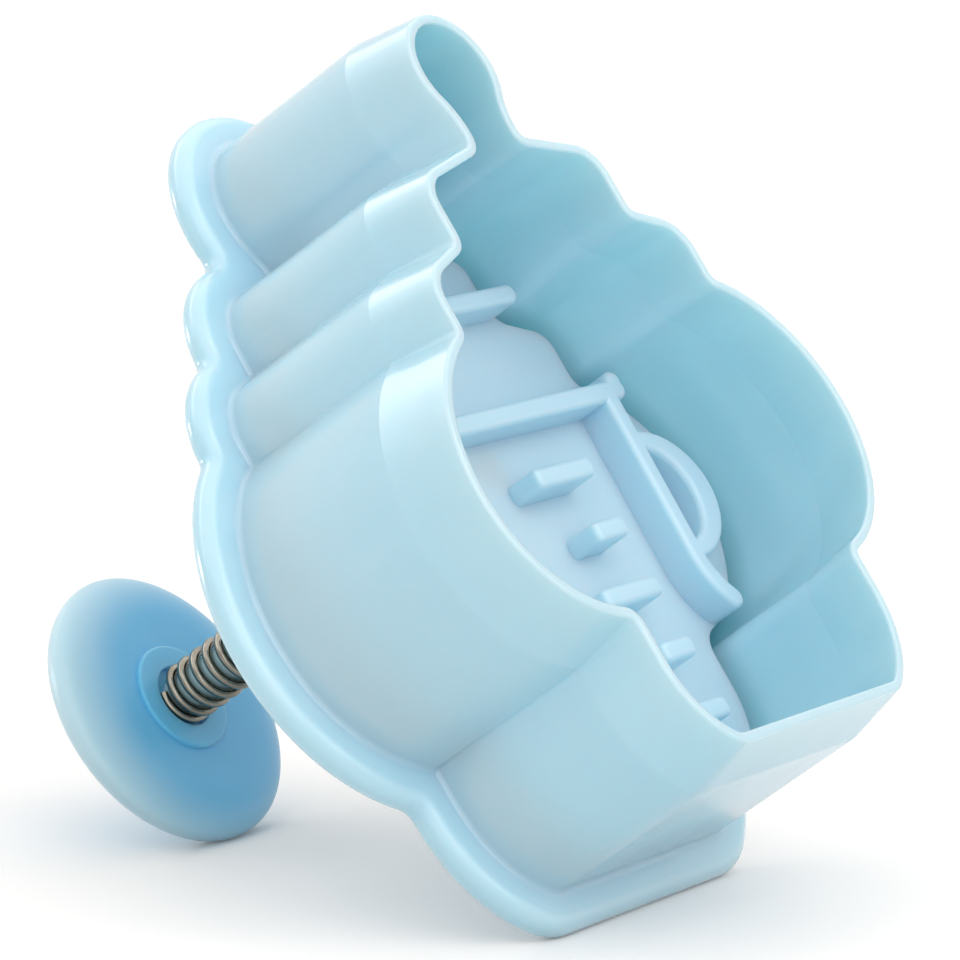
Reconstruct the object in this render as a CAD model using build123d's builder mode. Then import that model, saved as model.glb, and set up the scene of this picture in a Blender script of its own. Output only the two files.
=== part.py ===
from build123d import *
import os
from math import atan2, cos, degrees, pi, radians, sin, sqrt

# A plunger cutter for dough and sugar paste, in the outline of a feeding bottle.
# It stands on its cutting rim at Z = 0 with its knob up. The origin is under the middle of the
# outline, +Y points to the teat and the plunger slides along Z.
# Lengths are in millimetres and angles in degrees.

# Outline of the cutting rim, in shares of its length
cutting_length = 75.0
rim_shares = {
    "teat radius": 0.08,
    "neck length": 0.092,
    "neck radius": 0.1027,
    "small collar width": 0.3893,
    "small collar drop": 0.2147,
    "small collar radius": 0.0507,
    "large collar width": 0.5733,
    "large collar drop": 0.3387,
    "large collar radius": 0.056,
    "bulge width": 0.8347,
    "bulge drop": 0.62,
    "bulge upper radius": 0.2187,
    "bulge lower radius": 0.1987,
    "base width": 0.516,
    "base side radius": 0.1467,
    "base corner radius": 0.04,
}
small_collar_slope = 12.4
large_collar_slope = 18.8
base_side_angle = 54.3

# Wall of the cutter
shell_height = 28.6
blade_height = 7.0
blade_thickness = 1.0
blade_flare = 1.5
wall_thickness = 1.7
wall_draft = 0.25
rim_edge_radius = 0.25
rim_notch_radius = 1.1
wall_notch_radius = 0.25

# Lip flange and back wall
flange_thickness = 3.0
flange_overhang = 3.65
flange_edge_radius = 1.35
flange_notch_radius = 1.6
flange_root_radius = 0.6
back_thickness = 2.2

# Plunger, which stands a little below the middle of the outline
plunger_offset = 1.0
stem_radius = 2.0
stem_clearance = 0.06
guide_wall = 2.2
guide_length = 3.6
seat_ring_radius = 5.6
seat_ring_height = 1.2
spring_side_clearance = 0.5

# Stamp plate
plate_inset = 1.55
plate_thickness = 2.2
plate_skin = 0.8
socket_height = 2.1
socket_wall = 1.6
stop_gap = 0.1
stem_chamfer = 0.3

# Raised lines of the stamp, their places in shares of the cutting length
relief_height = 3.8
relief_edge = 0.6
small_bar_width = 2.0
large_bar_width = 2.1
large_bar_overhang = 1.7
bar_ear_radius = 1.05
bar_ear_rise = 0.9
side_line_width = 2.2
mark_width = 2.1
mark_count = 5
line_shares = {
    "small bar length": 0.352,
    "small bar drop": 0.3067,
    "large bar drop": 0.4647,
    "side line spread": 0.504,
    "side line waist": 0.4907,
    "side line foot spread": 0.5467,
    "side line foot rise": 0.2267,
    "side line bend rise": 0.3,
    "handle reach": 0.1027,
    "handle height": 0.1867,
    "handle hole reach": 0.0587,
    "handle hole height": 0.132,
    "handle drop": 0.6187,
    "long mark": 0.1253,
    "short mark": 0.0693,
    "mark end": 0.132,
    "first mark drop": 0.556,
    "mark pitch": 0.0867,
}

# Return spring
wire_radius = 0.44
spring_radius = 2.64
spring_seat_gap = 0.1
end_pitch = 1.38
end_turns = 1.25
steps_per_turn = 4
points_per_step = 8
spring_turns = 19
spring_length = 34.6

# Thumb knob
knob_radius = 14.4
knob_edge_radius = 2.1
knob_front_reach = 5.0
knob_crown = 1.6
knob_ring_radius = 5.6
knob_ring_height = 0.5
knob_ring_edge = 0.3
knob_seat_radius = 3.3
knob_seat_depth = 0.25
knob_bore_depth = 4.0

# One overrun for every cut
overrun = 1.0

# The outline's bands between its inward corners
outline_bands = 5

# Angles of the steps round the rim's edges and up the flange root
rim_angles = [90, 45, 0]
root_angles = [0, 22, 45, 67, 90]

# The outline and the raised lines in millimetres
rim = {name: cutting_length * share for name, share in rim_shares.items()}
lines = {name: cutting_length * share for name, share in line_shares.items()}


def line_circle(px, py, dx, dy, cx, cy, radius):
    """Where the line through p along d meets the circle, on its left side."""
    along = (cx - px) * dx + (cy - py) * dy
    foot_x = px + along * dx
    foot_y = py + along * dy
    reach = sqrt(radius**2 - (foot_x - cx) ** 2 - (foot_y - cy) ** 2)
    return foot_x - reach * dx, foot_y - reach * dy


def shoulder(collar, slope):
    """Centre of a collar's rounded shoulder and the unit normal of its sloping top."""
    normal = (sin(radians(slope)), cos(radians(slope)))
    radius = rim[collar + " radius"]
    top = cutting_length / 2 - rim[collar + " drop"]
    side = rim[collar + " width"] / 2
    return (side - radius, top - radius * (1 - normal[0]) / normal[1]), normal


def bottle_outline(grow, notch_radius, band=None):
    """The bottle outline grown outwards by `grow`, with its inward corners rounded.

    With `band`, only the part between two neighbouring inward corners, counted from the teat."""
    apex = cutting_length / 2
    teat_y = apex - rim["teat radius"]
    neck_y = teat_y - rim["neck length"]
    neck_x = sqrt((rim["teat radius"] + rim["neck radius"]) ** 2 - rim["neck length"] ** 2)
    lean = atan2(rim["neck length"], neck_x)
    teat_reach = rim["teat radius"] + grow
    flank = (teat_reach * cos(lean), teat_y - teat_reach * sin(lean))
    small, small_normal = shoulder("small collar", small_collar_slope)
    large, large_normal = shoulder("large collar", large_collar_slope)
    small_reach = rim["small collar radius"] + grow
    large_reach = rim["large collar radius"] + grow
    small_top = (small[0] + small_reach * small_normal[0], small[1] + small_reach * small_normal[1])
    large_top = (large[0] + large_reach * large_normal[0], large[1] + large_reach * large_normal[1])
    small_side = rim["small collar width"] / 2 + grow
    large_side = rim["large collar width"] / 2 + grow
    base_side = rim["base width"] / 2 + grow
    bulge_y = apex - rim["bulge drop"]
    upper_x = rim["bulge width"] / 2 - rim["bulge upper radius"]
    lower_x = rim["bulge width"] / 2 - rim["bulge lower radius"]
    upper_reach = rim["bulge upper radius"] + grow
    lower_reach = rim["bulge lower radius"] + grow

    neck_notch = line_circle(
        *small_top, small_normal[1], -small_normal[0], neck_x, neck_y, rim["neck radius"] - grow
    )
    fall = (small_side - large_top[0]) * large_normal[0] / large_normal[1]
    collar_notch = (small_side, large_top[1] - fall)
    bulge_notch = (large_side, bulge_y + sqrt(upper_reach**2 - (large_side - upper_x) ** 2))
    waist_notch = (base_side, bulge_y - sqrt(lower_reach**2 - (base_side - lower_x) ** 2))

    bottom = -apex - grow
    corner_span = rim["base side radius"] - rim["base corner radius"]
    side_y = rim["base corner radius"] - apex + corner_span * sin(radians(base_side_angle))

    with BuildSketch() as sketch:
        with BuildLine():
            teat = RadiusArc((0, apex + grow), flank, teat_reach)
            TangentArc(teat @ 1, neck_notch, tangent=teat % 1)
            Line(neck_notch, small_top)
            JernArc(
                small_top, (small_normal[1], -small_normal[0]), small_reach, small_collar_slope - 90
            )
            Line((small_side, small[1]), collar_notch)
            Line(collar_notch, large_top)
            JernArc(
                large_top, (large_normal[1], -large_normal[0]), large_reach, large_collar_slope - 90
            )
            Line((large_side, large[1]), bulge_notch)
            upper_angle = degrees(atan2(bulge_notch[1] - bulge_y, bulge_notch[0] - upper_x))
            lower_angle = degrees(atan2(bulge_y - waist_notch[1], waist_notch[0] - lower_x))
            CenterArc((upper_x, bulge_y), upper_reach, upper_angle, -upper_angle)
            CenterArc((lower_x, bulge_y), lower_reach, 0, -lower_angle)
            Line(waist_notch, (base_side, side_y))
            side = JernArc(
                (base_side, side_y), (0, -1), rim["base side radius"] + grow, -base_side_angle
            )
            corner = JernArc(
                side @ 1, side % 1, rim["base corner radius"] + grow, base_side_angle - 90
            )
            Line(corner @ 1, (0, bottom))
            mirror(about=Plane.YZ)
        make_face()
        notches = [neck_notch, collar_notch, bulge_notch, waist_notch]
        places = [Vector(hand * x, y) for x, y in notches for hand in (1, -1)]
        corners = [
            point
            for point in sketch.vertices()
            if min((Vector(point.X, point.Y) - place).length for place in places) < wall_notch_radius / 10
        ]
        if band is None:
            fillet(corners, notch_radius)
        else:
            limits = [apex + 2 * grow, *(y for x, y in notches), bottom - grow]
            high, low = limits[band : band + 2]
            with Locations((0, (high + low) / 2)):
                Rectangle(2 * rim["bulge width"], high - low, mode=Mode.INTERSECT)
    return sketch.sketch


def loft_wall(stations, mode=Mode.ADD):
    """A wall lofted through outlines at (height, growth, notch radius)."""
    sections = [
        Plane.XY.offset(height) * bottle_outline(grow, notch).face()
        for height, grow, notch in stations
    ]
    for low, high in zip(sections[:-1], sections[1:]):
        loft([low, high], ruled=True, mode=mode)


# Heights that several pieces share
flange_front = shell_height - flange_thickness
cavity_height = shell_height - back_thickness
guide_end = cavity_height - guide_length
socket_end = guide_end - stop_gap
plate_back = socket_end - socket_height
plate_depth = plate_back - plate_thickness
stem_start = plate_depth + plate_skin
spring_start = shell_height + spring_seat_gap
knob_seat = spring_start + spring_length + spring_seat_gap
knob_front = knob_seat - knob_seat_depth
stem_end = knob_seat + knob_bore_depth
plunger_centre = (0, -plunger_offset)
seat_radius = spring_radius + wire_radius + spring_side_clearance

# Growth of the outline from the rim: the blade flares, then the wall has a slight draft
wall_growth = blade_flare + wall_draft
root_stations = [
    (
        flange_front - flange_root_radius * (1 - sin(radians(angle))),
        wall_growth + flange_root_radius * (1 - cos(radians(angle))),
        wall_notch_radius,
    )
    for angle in root_angles
]
rim_steps = [
    (rim_edge_radius * (1 - sin(radians(angle))), rim_edge_radius * (1 - cos(radians(angle))))
    for angle in rim_angles
]
outer_stations = [
    *((rise, blade_flare * rise / blade_height - inset, rim_notch_radius) for rise, inset in rim_steps),
    (blade_height, blade_flare, wall_notch_radius),
    *root_stations,
    (flange_front + flange_thickness / 2, wall_growth + flange_root_radius, wall_notch_radius),
]

# Inside, the cavity keeps the blade's and then the wall's own thickness
inner_notch = wall_notch_radius + wall_thickness
inner_rim_notch = rim_notch_radius + blade_thickness
inner_flare = blade_flare - wall_thickness + blade_thickness
cavity_stations = [
    (-overrun, rim_edge_radius - blade_thickness, inner_rim_notch),
    *(
        (rise, inner_flare * rise / blade_height + inset - blade_thickness, inner_rim_notch)
        for rise, inset in rim_steps
    ),
    (blade_height, blade_flare - wall_thickness, inner_notch),
    (cavity_height, wall_growth - wall_thickness, inner_notch),
]

# The shell: wall, lip flange, back wall, the spring's seat ring and the stem's guide sleeve
with BuildPart() as cutter_shell:
    with BuildSketch(Plane.XY.offset(flange_front)) as flange_face:
        for band in range(outline_bands):
            with BuildSketch(mode=Mode.PRIVATE) as grown_band:
                add(bottle_outline(wall_growth, wall_notch_radius, band))
                offset(amount=flange_overhang + flange_notch_radius, kind=Kind.ARC)
            add(grown_band.sketch)
        offset(amount=-flange_notch_radius, kind=Kind.ARC)
    extrude(amount=flange_thickness)
    lip = cutter_shell.faces().filter_by(Axis.Z).edges()
    fillet(lip, flange_edge_radius)
    loft_wall(outer_stations)
    loft_wall(cavity_stations, mode=Mode.SUBTRACT)
    with BuildSketch(Plane.XY.offset(guide_end)):
        with Locations(plunger_centre):
            Circle(stem_radius + stem_clearance + guide_wall)
    extrude(amount=guide_length + back_thickness / 2)
    with BuildSketch(Plane.XY.offset(shell_height)):
        with Locations(plunger_centre):
            Circle(seat_ring_radius)
            Circle(seat_radius, mode=Mode.SUBTRACT)
    extrude(amount=seat_ring_height)
    with BuildSketch(Plane.XY.offset(guide_end - overrun)):
        with Locations(plunger_centre):
            Circle(stem_radius + stem_clearance)
    extrude(amount=shell_height - guide_end + 2 * overrun, mode=Mode.SUBTRACT)
cutter_shell.part.label = "cutter_shell"

# The stamp plate: the rim's outline drawn in, raised lines on its face, the stem's socket behind
middle = cutting_length / 2
small_bar_y = middle - lines["small bar drop"]
side_top = middle - lines["large bar drop"]
side_bend = lines["side line bend rise"] - middle
side_foot = lines["side line foot rise"] - middle
side_x = lines["side line spread"] / 2
handle_y = middle - lines["handle drop"]
large_bar_reach = side_x + side_line_width / 2 + large_bar_overhang
bar_ear_x = large_bar_reach - bar_ear_radius
first_mark_y = middle - lines["first mark drop"]
mark_names = ["long mark", "short mark"]
line_plane = Plane.XY.offset(plate_depth)
handle_cut = Plane.YZ.offset(side_x - side_line_width / 4)

# The collar's two bars, the large one with a rounded ear at each end
with BuildSketch(line_plane) as bar_shapes:
    with Locations((0, small_bar_y)):
        SlotOverall(lines["small bar length"], small_bar_width)
    with Locations((0, side_top)):
        SlotOverall(2 * large_bar_reach, large_bar_width)
    with Locations([(hand * bar_ear_x, side_top + bar_ear_rise) for hand in (1, -1)]):
        Circle(bar_ear_radius)

# One side of the bottle's body, which flares at its foot
with BuildSketch(line_plane) as side_shape:
    with BuildLine():
        straight_side = Line((side_x, side_top), (lines["side line waist"] / 2, side_bend))
        flared_side = TangentArc(
            straight_side @ 1,
            (lines["side line foot spread"] / 2, side_foot),
            tangent=straight_side % 1,
        )
    trace(line_width=side_line_width)
    with Locations(flared_side @ 1):
        Circle(side_line_width / 2)

# One handle, a ring of which only the part outside the side line is kept
with BuildSketch(line_plane) as handle_shape:
    with Locations((side_x, handle_y)):
        Ellipse(lines["handle reach"], lines["handle height"] / 2)
        Ellipse(lines["handle hole reach"], lines["handle hole height"] / 2, mode=Mode.SUBTRACT)

# The graduation marks, long and short in turn
with BuildSketch(line_plane) as mark_shapes:
    for count in range(mark_count):
        mark_length = lines[mark_names[count % 2]]
        mark_y = first_mark_y - count * lines["mark pitch"]
        with Locations((mark_length / 2 - lines["mark end"], mark_y)):
            RectangleRounded(mark_length, mark_width, mark_width / 3)

with BuildPart() as stamp_plate:
    with BuildSketch(Plane.XY.offset(plate_depth)):
        add(bottle_outline(-plate_inset, rim_notch_radius + plate_inset))
    extrude(amount=plate_thickness)
    with BuildSketch(Plane.XY.offset(plate_back)):
        with Locations(plunger_centre):
            Circle(stem_radius + socket_wall)
    extrude(amount=socket_end - plate_back)
    with BuildSketch(Plane.XY.offset(stem_start)):
        with Locations(plunger_centre):
            Circle(stem_radius)
    extrude(amount=socket_end - stem_start + overrun, mode=Mode.SUBTRACT)
    for shape in (bar_shapes, side_shape, handle_shape, mark_shapes):
        for face in shape.sketch.faces():
            line = extrude(face, amount=-relief_height, mode=Mode.PRIVATE)
            line_top = line.faces().sort_by(Axis.Z)[0]
            rounded_line = line.fillet(relief_edge, line_top.edges())
            if shape is handle_shape:
                rounded_line = split(rounded_line, bisect_by=handle_cut, mode=Mode.PRIVATE)
            add(rounded_line)
            if shape in (side_shape, handle_shape):
                add(mirror(rounded_line, about=Plane.YZ, mode=Mode.PRIVATE))
stamp_plate.part.label = "stamp_plate"

# The stem: a plain rod pressed into the plate's socket and the knob's bore
with BuildPart() as plunger_stem:
    with BuildSketch(Plane.XY.offset(stem_start)):
        with Locations(plunger_centre):
            Circle(stem_radius)
    extrude(amount=stem_end - stem_start)
    stem_rims = plunger_stem.edges().filter_by(GeomType.CIRCLE)
    chamfer(stem_rims, stem_chamfer)
plunger_stem.part.label = "plunger_stem"

# The knob: a thick round lens with a low boss round the spring's seat
edge_centre = knob_radius - knob_edge_radius
front_end = knob_radius - knob_front_reach
crown_height = knob_edge_radius + knob_crown
crown_radius = (edge_centre**2 + crown_height**2 - knob_edge_radius**2) / (2 * knob_crown)
crown_angle = degrees(atan2(crown_radius - crown_height, edge_centre))
ring_crest = (knob_ring_radius - knob_ring_edge, knob_front - knob_ring_height)
with BuildPart() as thumb_knob:
    with BuildSketch(Plane.XZ.offset(plunger_offset)):
        with BuildLine():
            Polyline(
                (stem_radius, stem_end),
                (stem_radius, knob_seat),
                (knob_seat_radius, knob_seat),
                (knob_seat_radius, knob_front - knob_ring_height),
                ring_crest,
            )
            ring_edge = JernArc(ring_crest, (1, 0), knob_ring_edge, 90)
            Polyline(ring_edge @ 1, (knob_ring_radius, knob_front), (front_end, knob_front))
            front = EllipticalCenterArc(
                (front_end, knob_front + knob_edge_radius),
                knob_front_reach,
                knob_edge_radius,
                start_angle=-90,
                arc_size=90,
            )
            edge = JernArc(front @ 1, (0, 1), knob_edge_radius, crown_angle)
            crown = TangentArc(
                (0, knob_front + knob_edge_radius + crown_height), edge @ 1, tangent=(1, 0)
            )
            Polyline(crown @ 0, (0, stem_end), (stem_radius, stem_end))
        make_face()
    revolve(axis=Axis((0, -plunger_offset, 0), (0, 0, 1)))
thumb_knob.part.label = "thumb_knob"

# The return spring: one steel wire, close at its two ends and open between
wire_start = spring_start + wire_radius
open_turns = spring_turns - 2 * end_turns
open_pitch = (spring_length - 2 * wire_radius - 2 * end_turns * end_pitch) / open_turns


def wire_height(turn):
    """Height of the wire's centre after so many turns."""
    low = min(turn, end_turns) * end_pitch
    rise = min(max(turn - end_turns, 0), open_turns) * open_pitch
    high = max(turn - end_turns - open_turns, 0) * end_pitch
    return wire_start + low + rise + high


def wire_knot(step):
    """Point and unit direction of the wire at a step of the helix."""
    turn = step / steps_per_turn
    angle = 2 * pi * turn
    place = Vector(
        spring_radius * cos(angle), spring_radius * sin(angle) - plunger_offset, wire_height(turn)
    )
    climb = 0
    if 0 < step < spring_turns * steps_per_turn:
        climb = wire_height(turn + 1 / steps_per_turn) - wire_height(turn - 1 / steps_per_turn)
    around = 2 * pi * spring_radius * 2 / steps_per_turn
    course = Vector(-around * sin(angle), around * cos(angle), climb).normalized()
    return place, course


with BuildPart() as return_spring:
    with BuildLine() as wire_path:
        knots = [wire_knot(step) for step in range(spring_turns * steps_per_turn + 1)]
        first, first_course = knots[0]
        last, last_course = knots[-1]
        lead = Line(first - first_course * 2 * wire_radius, first)
        for (start, course), (end, next_course) in zip(knots[:-1], knots[1:]):
            span = end - start
            bend = course + next_course
            a = bend.dot(bend) - 4
            b = -2 * span.dot(bend)
            c = span.dot(span)
            reach = (-b - sqrt(b * b - 4 * a * c)) / (2 * a)
            near = start + course * reach
            far = end - next_course * reach
            joint = (near + far) * 0.5
            TangentArc(start, joint, tangent=course)
            TangentArc(joint, end, tangent=far - near)
        Line(last, last + last_course * 2 * wire_radius)
    with BuildSketch(Plane(lead @ 0, z_dir=first_course)):
        Circle(wire_radius)
    sweep()
return_spring.part.label = "return_spring"

# The wire's least gap to itself, measured on points, and its volume against section and length
wire_points = [
    edge @ (count / points_per_step)
    for edge in wire_path.edges()
    for count in range(points_per_step)
]
points_per_turn = 2 * steps_per_turn * points_per_step
wire_gap = min(
    (upper - point).length - 2 * wire_radius
    for place, point in enumerate(wire_points)
    for upper in wire_points[place + points_per_turn // 2 : place + 2 * points_per_turn]
)
wire_length = sum(edge.length for edge in wire_path.edges())
print("least gap of the spring's wire", round(wire_gap, 3))
print("wire volume", round(return_spring.part.volume, 2))
print("wire section times length", round(pi * wire_radius**2 * wire_length, 2))

os.makedirs("parts", exist_ok=True)
export_step(cutter_shell.part, "parts/cutter_shell.step")
export_step(stamp_plate.part, "parts/stamp_plate.step")
export_step(plunger_stem.part, "parts/plunger_stem.step")
export_step(return_spring.part, "parts/return_spring.step")
export_step(thumb_knob.part, "parts/thumb_knob.step")
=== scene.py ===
from math import cos, pi, radians, sin

import bmesh
import bpy
from mathutils import Matrix, Vector


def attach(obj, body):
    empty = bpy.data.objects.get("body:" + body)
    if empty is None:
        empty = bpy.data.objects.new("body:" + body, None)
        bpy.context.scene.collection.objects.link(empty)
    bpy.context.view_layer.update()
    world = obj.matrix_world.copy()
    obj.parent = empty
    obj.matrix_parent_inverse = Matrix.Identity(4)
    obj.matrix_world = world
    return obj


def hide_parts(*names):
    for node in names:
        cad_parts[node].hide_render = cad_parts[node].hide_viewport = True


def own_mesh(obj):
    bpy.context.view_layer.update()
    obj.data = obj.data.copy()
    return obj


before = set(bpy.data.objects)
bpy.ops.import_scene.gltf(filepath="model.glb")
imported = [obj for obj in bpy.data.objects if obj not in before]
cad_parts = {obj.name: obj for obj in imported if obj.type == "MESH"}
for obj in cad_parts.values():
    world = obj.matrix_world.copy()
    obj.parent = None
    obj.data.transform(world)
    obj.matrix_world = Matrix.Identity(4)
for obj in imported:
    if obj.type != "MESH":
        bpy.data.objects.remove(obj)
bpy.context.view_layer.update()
mm = 0.001

# Cutter shell
# One injection moulding in light-blue ABS: the bottle-shaped wall with its thin cutting rim, the
# rounded lip flange and the back wall with the stem's guide sleeve. The plastic lets light in,
# so its thin walls glow softly, and the polished mould leaves it glossy with a faint ripple.


def linear(hex_colour):
    """An sRGB hex colour as linear red, green, blue and alpha."""
    channels = [int(hex_colour[place:place + 2], 16) / 255 for place in (1, 3, 5)]
    return (*(c / 12.92 if c <= 0.04045 else ((c + 0.055) / 1.055) ** 2.4 for c in channels), 1)


def add_node(tree, kind, values=None, links=None, **settings):
    """One node with its settings, the values of its sockets and the outputs that feed it."""
    node = tree.nodes.new(kind)
    for name, value in settings.items():
        setattr(node, name, value)
    for socket, value in (values or {}).items():
        node.inputs[socket].default_value = value
    for socket, output in (links or {}).items():
        tree.links.new(output, node.inputs[socket])
    return node


def new_material(name):
    """An empty node material and its tree."""
    material = bpy.data.materials.new(name)
    material.use_nodes = True
    material.node_tree.nodes.clear()
    return material, material.node_tree


def moulded_plastic(name, pale, deep, gloss, satin, grain_depth, shader_values, rim=None):
    """Injection-moulded plastic: faint clouds of pigment, flow marks drawn along the mould's
    opening direction, and the fine texture of the mould's steel, which is drawn coarser than the
    real one so that it shows. A round piece may have a rim painted paler, as painted light: its
    colour, the place that it is pale around, and the distances from there at which it begins and
    is full."""
    cloud_size = 14 * mm
    flow_width = 6 * mm
    flow_stretch = 0.3
    flow_faintest = 0.15
    flow_strongest = 0.85
    ripple_depth = 0.05 * mm
    ripple_strength = 0.2
    grain_size = 0.5 * mm
    grain_strength = 0.3
    material, tree = new_material(name)
    place = add_node(tree, "ShaderNodeTexCoord").outputs["Object"]
    clouds = add_node(
        tree, "ShaderNodeTexNoise", {"Scale": 1 / cloud_size, "Detail": 3, "Roughness": 0.5},
        {"Vector": place},
    )
    colour = add_node(
        tree, "ShaderNodeMix", {6: linear(pale), 7: linear(deep)},
        {0: clouds.outputs[0]}, data_type="RGBA",
    )
    # The paler rim is painted light.
    if rim:
        rim_colour, axis_x, axis_y, begins, full = rim
        flat = add_node(
            tree, "ShaderNodeMapping", {"Location": (-axis_x, -axis_y, 0), "Scale": (1, 1, 0)},
            {"Vector": place},
        )
        reach = add_node(
            tree, "ShaderNodeVectorMath", links={0: flat.outputs[0]}, operation="LENGTH",
        )
        outwards = add_node(
            tree, "ShaderNodeMapRange", {"From Min": begins, "From Max": full},
            {"Value": reach.outputs["Value"]}, interpolation_type="SMOOTHSTEP",
        )
        colour = add_node(
            tree, "ShaderNodeMix", {7: linear(rim_colour)},
            {0: outwards.outputs[0], 6: colour.outputs[2]}, data_type="RGBA",
        )
    drawn = add_node(
        tree, "ShaderNodeMapping", {"Scale": (1, 1, flow_stretch)}, {"Vector": place},
    )
    flow = add_node(
        tree, "ShaderNodeTexNoise", {"Scale": 1 / flow_width, "Detail": 2, "Roughness": 0.5},
        {"Vector": drawn.outputs[0]},
    )
    polish = add_node(
        tree, "ShaderNodeMapRange",
        {"From Min": flow_faintest, "From Max": flow_strongest, "To Min": gloss, "To Max": satin},
        {"Value": flow.outputs[0]}, interpolation_type="SMOOTHSTEP",
    )
    grain = add_node(
        tree, "ShaderNodeTexNoise", {"Scale": 1 / grain_size, "Detail": 2, "Roughness": 0.6},
        {"Vector": place},
    )
    ripple = add_node(
        tree, "ShaderNodeBump", {"Strength": ripple_strength, "Distance": ripple_depth},
        {"Height": flow.outputs[0]},
    )
    texture = add_node(
        tree, "ShaderNodeBump", {"Strength": grain_strength, "Distance": grain_depth},
        {"Height": grain.outputs[0], "Normal": ripple.outputs[0]},
    )
    shader = add_node(
        tree, "ShaderNodeBsdfPrincipled", shader_values,
        {"Base Color": colour.outputs[2], "Roughness": polish.outputs[0],
         "Normal": texture.outputs[0]},
    )
    add_node(tree, "ShaderNodeOutputMaterial", links={"Surface": shader.outputs[0]})
    return material


def finish_node(name, material):
    """Gives a CAD node its finish."""
    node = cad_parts[name]
    node.data.materials.clear()
    node.data.materials.append(material)


# ABS has an IOR of 1.53. Light blue pigment passes blue light furthest.
shell_abs = moulded_plastic(
    "moulded_abs_light_blue", pale="#bddbe9", deep="#b1d4e5", gloss=0.17, satin=0.26,
    grain_depth=0.008 * mm,
    shader_values={
        "IOR": 1.53,
        "Subsurface Weight": 0.75,
        "Subsurface Radius": (0.5, 0.95, 1),
        "Subsurface Scale": 6 * mm,
        "Coat Weight": 0.5,
        "Coat Roughness": 0.14,
    },
)
finish_node("cutter_shell", shell_abs)

# Stamp plate
# A second moulding of the same light-blue ABS, in the outline drawn in from the wall. Its raised
# lines press the bottle's details into the dough. It is pressed on to the stem.
plate_abs = moulded_plastic(
    "moulded_abs_light_blue_plate", pale="#c4deeb", deep="#bad8e8", gloss=0.3, satin=0.4,
    grain_depth=0.008 * mm,
    shader_values={
        "IOR": 1.53,
        "Subsurface Weight": 0.7,
        "Subsurface Radius": (0.45, 0.95, 1),
        "Subsurface Scale": 4 * mm,
    },
)
finish_node("stamp_plate", plate_abs)

# Plunger stem
# A plain moulded rod of the same plastic that runs through the guide sleeve inside the spring.
# It is polished by sliding, and shows as light blue between the spring's turns.
stem_abs = moulded_plastic(
    "moulded_abs_light_blue_stem", pale="#bcdfe8", deep="#b0d7e2", gloss=0.285, satin=0.36,
    grain_depth=0.004 * mm,
    shader_values={
        "IOR": 1.53,
        "Subsurface Weight": 0.25,
        "Subsurface Radius": (0.7, 0.9, 1),
        "Subsurface Scale": 2 * mm,
    },
)
finish_node("plunger_stem", stem_abs)

# Return spring
# One cold-drawn steel wire, wound open with its end turns closer together and nickel plated. It
# stands free between the shell's back wall and the knob. The real one is squeezed as the knob goes
# in; here it is held to the shell.
# Its wire is a little thicker than the plain solid's, inside the same outside diameter.
wire_radius = 0.5 * mm
coil_radius = 2.58 * mm
coil_y = -1.0 * mm
wire_start = 29.2 * mm
coil_turns = 19
end_turns = 1.25
end_pitch = 1.38 * mm
wire_rise = 33.6 * mm
tail_length = 0.88 * mm
steps_per_turn = 40
wire_sides = 14
open_turns = coil_turns - 2 * end_turns
open_pitch = (wire_rise - 2 * end_turns * end_pitch) / open_turns


def wire_height(turn):
    """Height of the wire's centre after so many turns."""
    low = min(turn, end_turns) * end_pitch
    rise = min(max(turn - end_turns, 0), open_turns) * open_pitch
    high = max(turn - end_turns - open_turns, 0) * end_pitch
    return wire_start + low + rise + high


def wound_spring(name):
    """The wire as one tube along its helix, with flat cut ends."""
    route = []
    for step in range(coil_turns * steps_per_turn + 1):
        turn = step / steps_per_turn
        angle = 2 * pi * turn
        route.append(Vector((
            coil_radius * cos(angle), coil_radius * sin(angle) + coil_y, wire_height(turn)
        )))
    start_tail = Vector((0, -tail_length, 0))
    end_tail = Vector((0, tail_length, 0))
    route = [route[0] + start_tail, *route, route[-1] + end_tail]
    mesh = bmesh.new()
    rings = []
    for place, point in enumerate(route):
        before = route[max(place - 1, 0)]
        after = route[min(place + 1, len(route) - 1)]
        along = (after - before).normalized()
        outward = Vector((point.x, point.y - coil_y, 0))
        outward = (outward - along * outward.dot(along)).normalized()
        across = along.cross(outward)
        rings.append([
            mesh.verts.new(
                point
                + outward * wire_radius * cos(2 * pi * side / wire_sides)
                + across * wire_radius * sin(2 * pi * side / wire_sides)
            )
            for side in range(wire_sides)
        ])
    for low, high in zip(rings[:-1], rings[1:]):
        for side in range(wire_sides):
            other = (side + 1) % wire_sides
            mesh.faces.new((low[side], low[other], high[other], high[side])).smooth = True
    mesh.faces.new(rings[0][::-1])
    mesh.faces.new(rings[-1])
    bmesh.ops.recalc_face_normals(mesh, faces=mesh.faces)
    data = bpy.data.meshes.new(name)
    mesh.to_mesh(data)
    mesh.free()
    piece = bpy.data.objects.new(name, data)
    bpy.context.scene.collection.objects.link(piece)
    return piece
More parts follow.
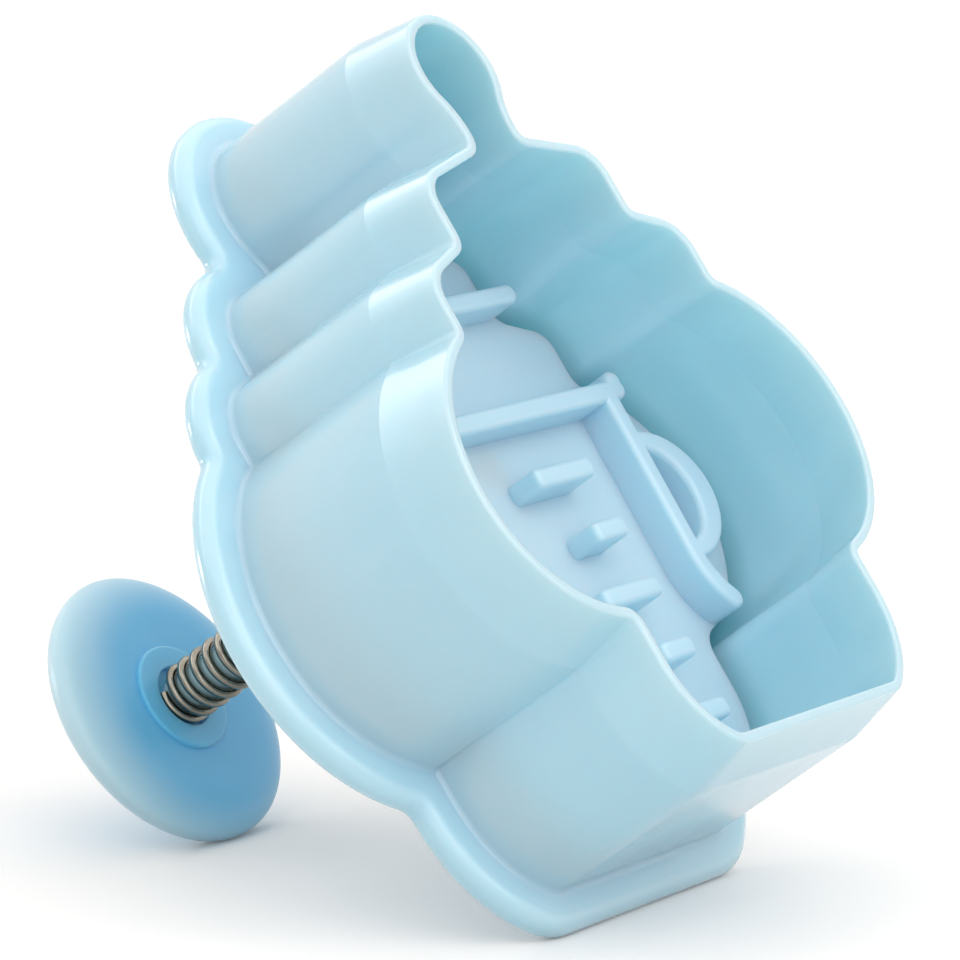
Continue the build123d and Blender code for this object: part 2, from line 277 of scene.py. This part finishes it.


# Nickel is a warm grey metal. The drawing die leaves a fine roughness on the wire, drawn here
# larger than the real one so that it shows. The wire's colour goes in patches from a pale to a
# dark warm grey; the dark patches are painted reflection, standing in for dark surroundings.
die_mark_size = 0.25 * mm
die_mark_depth = 0.01 * mm
smooth_wire = 0.1
rough_wire = 0.18
painted_dark_reflection_size = 3 * mm
nickel, nickel_tree = new_material("nickel_plated_spring_wire")
nickel_place = add_node(nickel_tree, "ShaderNodeTexCoord").outputs["Object"]
die_marks = add_node(
    nickel_tree, "ShaderNodeTexNoise", {"Scale": 1 / die_mark_size, "Detail": 3, "Roughness": 0.6},
    {"Vector": nickel_place},
)
# Patches where the wire's colour turns dark: painted dark reflection.
painted_dark_reflection = add_node(
    nickel_tree, "ShaderNodeTexNoise", {"Scale": 1 / painted_dark_reflection_size, "Detail": 3, "Roughness": 0.6},
    {"Vector": nickel_place},
)
nickel_colour = add_node(
    nickel_tree, "ShaderNodeMix", {6: linear("#aaa598"), 7: linear("#5b564c")},
    {0: painted_dark_reflection.outputs[0]}, data_type="RGBA",
)
nickel_polish = add_node(
    nickel_tree, "ShaderNodeMapRange",
    {"From Min": 0.3, "From Max": 0.7, "To Min": smooth_wire, "To Max": rough_wire},
    {"Value": die_marks.outputs[0]},
)
nickel_bump = add_node(
    nickel_tree, "ShaderNodeBump", {"Strength": 0.2, "Distance": die_mark_depth},
    {"Height": die_marks.outputs[0]},
)
nickel_shader = add_node(
    nickel_tree, "ShaderNodeBsdfPrincipled", {"Metallic": 1},
    {"Base Color": nickel_colour.outputs[2], "Roughness": nickel_polish.outputs[0],
     "Normal": nickel_bump.outputs[0]},
)
add_node(nickel_tree, "ShaderNodeOutputMaterial", links={"Surface": nickel_shader.outputs[0]})

spring = wound_spring("return_spring_wire")
spring.data.materials.append(nickel)
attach(spring, "shell")
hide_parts("return_spring")
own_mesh(spring)

# Thumb knob
# A thick moulding in a deeper blue, pressed on to the stem's end, more matt than the shell. Its
# rim is coloured paler, most of all on one side of the stem. That stands for the light that the
# real rim seems to let through, and isn't known to be the plastic's own colour.
pale_rim_colour = "#c0dee8"
pale_rim_x = -2.8 * mm
pale_rim_y = -2.1 * mm
pale_rim_begins = 9.8 * mm
pale_rim_full = 17.3 * mm
knob_abs = moulded_plastic(
    "moulded_abs_deep_blue", pale="#6cc6ec", deep="#5cbbe5", gloss=0.3, satin=0.42,
    grain_depth=0.012 * mm,
    rim=(pale_rim_colour, pale_rim_x, pale_rim_y, pale_rim_begins, pale_rim_full),
    shader_values={
        "IOR": 1.53,
        "Subsurface Weight": 0.4,
        "Subsurface Radius": (0.6, 0.9, 1),
        "Subsurface Scale": 4 * mm,
        "Sheen Weight": 0.4,
        "Sheen Roughness": 0.5,
    },
)
finish_node("thumb_knob", knob_abs)

# Floor and backdrop
# The tool lies tipped over on the knob's rim and the flange's lower edge, so the floor's plane
# leans in the tool's own frame. Both floor and backdrop are plain white.
floor_normal = Vector((0, 0.8119, -0.5838)).normalized()
floor_reach = -50.99 * mm
floor_half = 3.0
floor_across = Vector((1, 0, 0))
floor_along = floor_normal.cross(floor_across)
floor_mesh = bmesh.new()
floor_corners = [
    floor_mesh.verts.new(
        floor_normal * floor_reach + floor_across * side + floor_along * end
    )
    for side, end in (
        (-floor_half, -floor_half), (floor_half, -floor_half),
        (floor_half, floor_half), (-floor_half, floor_half),
    )
]
floor_face = floor_mesh.faces.new(floor_corners)
floor_face.normal_update()
if floor_face.normal.dot(floor_normal) < 0:
    floor_face.normal_flip()
floor_data = bpy.data.meshes.new("floor")
floor_mesh.to_mesh(floor_data)
floor_mesh.free()
floor = bpy.data.objects.new("floor", floor_data)
bpy.context.scene.collection.objects.link(floor)

# White card: the camera sees it white, with the tool's shadow kept, while the light that it
# throws back on the tool is a grey card's. From below it is left out, so that the tool can be
# seen from every side.
card_glow_level = 0.06
card, card_tree = new_material("white_card")
card_light = add_node(card_tree, "ShaderNodeLightPath")
card_seen = add_node(
    card_tree, "ShaderNodeMath",
    links={0: card_light.outputs["Is Camera Ray"], 1: card_light.outputs["Is Glossy Ray"]},
    operation="MAXIMUM",
)
card_any = add_node(
    card_tree, "ShaderNodeMath",
    links={0: card_seen.outputs[0], 1: card_light.outputs["Is Transmission Ray"]},
    operation="MAXIMUM",
)
card_lift = add_node(
    card_tree, "ShaderNodeMath", {1: card_glow_level}, {0: card_any.outputs[0]},
    operation="MULTIPLY",
)
card_colour = add_node(
    card_tree, "ShaderNodeMix", {6: linear("#d4d4d4"), 7: linear("#fffbf8")},
    {0: card_any.outputs[0]}, data_type="RGBA",
)
card_paper = add_node(
    card_tree, "ShaderNodeBsdfDiffuse", links={"Color": card_colour.outputs[2]},
)
card_glow = add_node(
    card_tree, "ShaderNodeEmission", {"Color": (1, 1, 1, 1)},
    {"Strength": card_lift.outputs[0]},
)
card_front = add_node(
    card_tree, "ShaderNodeAddShader", links={0: card_paper.outputs[0], 1: card_glow.outputs[0]},
)
card_clear = add_node(card_tree, "ShaderNodeBsdfTransparent")
card_side = add_node(card_tree, "ShaderNodeNewGeometry")
card_both = add_node(
    card_tree, "ShaderNodeMixShader",
    links={0: card_side.outputs["Backfacing"], 1: card_front.outputs[0],
           2: card_clear.outputs[0]},
)
add_node(card_tree, "ShaderNodeOutputMaterial", links={"Surface": card_both.outputs[0]})
floor.data.materials.append(card)

# The world is white where it is seen, and lights the tool as a dimmer, even sky.
sky_level = 0.41
world = bpy.data.worlds.new("white_studio")
world.use_nodes = True
world.node_tree.nodes.clear()
bpy.context.scene.world = world
sky_light = add_node(world.node_tree, "ShaderNodeLightPath")
sky_first = add_node(
    world.node_tree, "ShaderNodeMath",
    links={0: sky_light.outputs["Is Camera Ray"], 1: sky_light.outputs["Is Glossy Ray"]},
    operation="MAXIMUM",
)
sky_seen = add_node(
    world.node_tree, "ShaderNodeMath",
    links={0: sky_first.outputs[0], 1: sky_light.outputs["Is Transmission Ray"]},
    operation="MAXIMUM",
)
sky_strength = add_node(
    world.node_tree, "ShaderNodeMapRange", {"To Min": sky_level, "To Max": 1},
    {"Value": sky_seen.outputs[0]},
)
sky = add_node(
    world.node_tree, "ShaderNodeBackground", {"Color": (1, 1, 1, 1)},
    {"Strength": sky_strength.outputs[0]},
)
add_node(world.node_tree, "ShaderNodeOutputWorld", links={"Surface": sky.outputs[0]})

# Camera
# It stands at the photograph's place: close above the floor, looking into the open mouth past
# the near wall, with a long lens.
camera_place = Vector((417.623, -94.020, -257.857)) * mm
camera_right = Vector((-0.5570545, -0.48285488, -0.67567851))
camera_up = Vector((-0.14010095, 0.85658181, -0.49662796))
camera_back = Vector((0.81857315, -0.18198564, -0.54481118))
camera_data = bpy.data.cameras.new("camera")
camera_data.sensor_width = 36
camera_data.lens = 205.27
camera_data.clip_start = 0.01
camera_data.clip_end = 20
camera = bpy.data.objects.new("camera", camera_data)
camera.matrix_world = Matrix.Translation(camera_place) @ Matrix(
    (camera_right, camera_up, camera_back)
).transposed().to_4x4()
bpy.context.scene.collection.objects.link(camera)
bpy.context.scene.camera = camera

# Lamps
# A long soft box above the teat, whose reflection lies on the flared blade, a wide lamp straight
# overhead, one beside the camera, a fill that looks into the mouth and a rim lamp behind the
# knob. Directions of the last four are along the camera's right, up and back.
key_distance = 0.8
key_towards = Vector((0.12, 0.93, 0.36)).normalized()
key_along = Vector((0, 0, 1)).cross(key_towards).normalized()
key_data = bpy.data.lights.new("key", "AREA")
key_data.shape = "RECTANGLE"
key_data.size = 0.9
key_data.size_y = 0.12
key_data.energy = 0.7
key = bpy.data.objects.new("key", key_data)
key.matrix_world = Matrix.Translation(key_towards * key_distance) @ Matrix(
    (key_along, key_towards.cross(key_along), key_towards)
).transposed().to_4x4()
bpy.context.scene.collection.objects.link(key)


def soft_lamp(name, right, up, back, strength, softness):
    """A distant soft lamp that shines on the tool from the given direction."""
    lamp_data = bpy.data.lights.new(name, "SUN")
    lamp_data.energy = strength
    lamp_data.angle = radians(softness)
    lamp = bpy.data.objects.new(name, lamp_data)
    towards = camera_right * right + camera_up * up + camera_back * back
    lamp.rotation_euler = towards.to_track_quat("Z", "Y").to_euler()
    bpy.context.scene.collection.objects.link(lamp)


soft_lamp("overhead", right=0, up=0.985, back=0.17, strength=1.4, softness=110)
soft_lamp("front", right=0.05, up=0.2, back=0.95, strength=0.68, softness=60)
soft_lamp("fill", right=0.68, up=0.5, back=0.54, strength=0.86, softness=60)
soft_lamp("rim", right=-0.93, up=0.13, back=-0.36, strength=0.35, softness=9)

bpy.context.scene.view_settings.view_transform = "Standard"
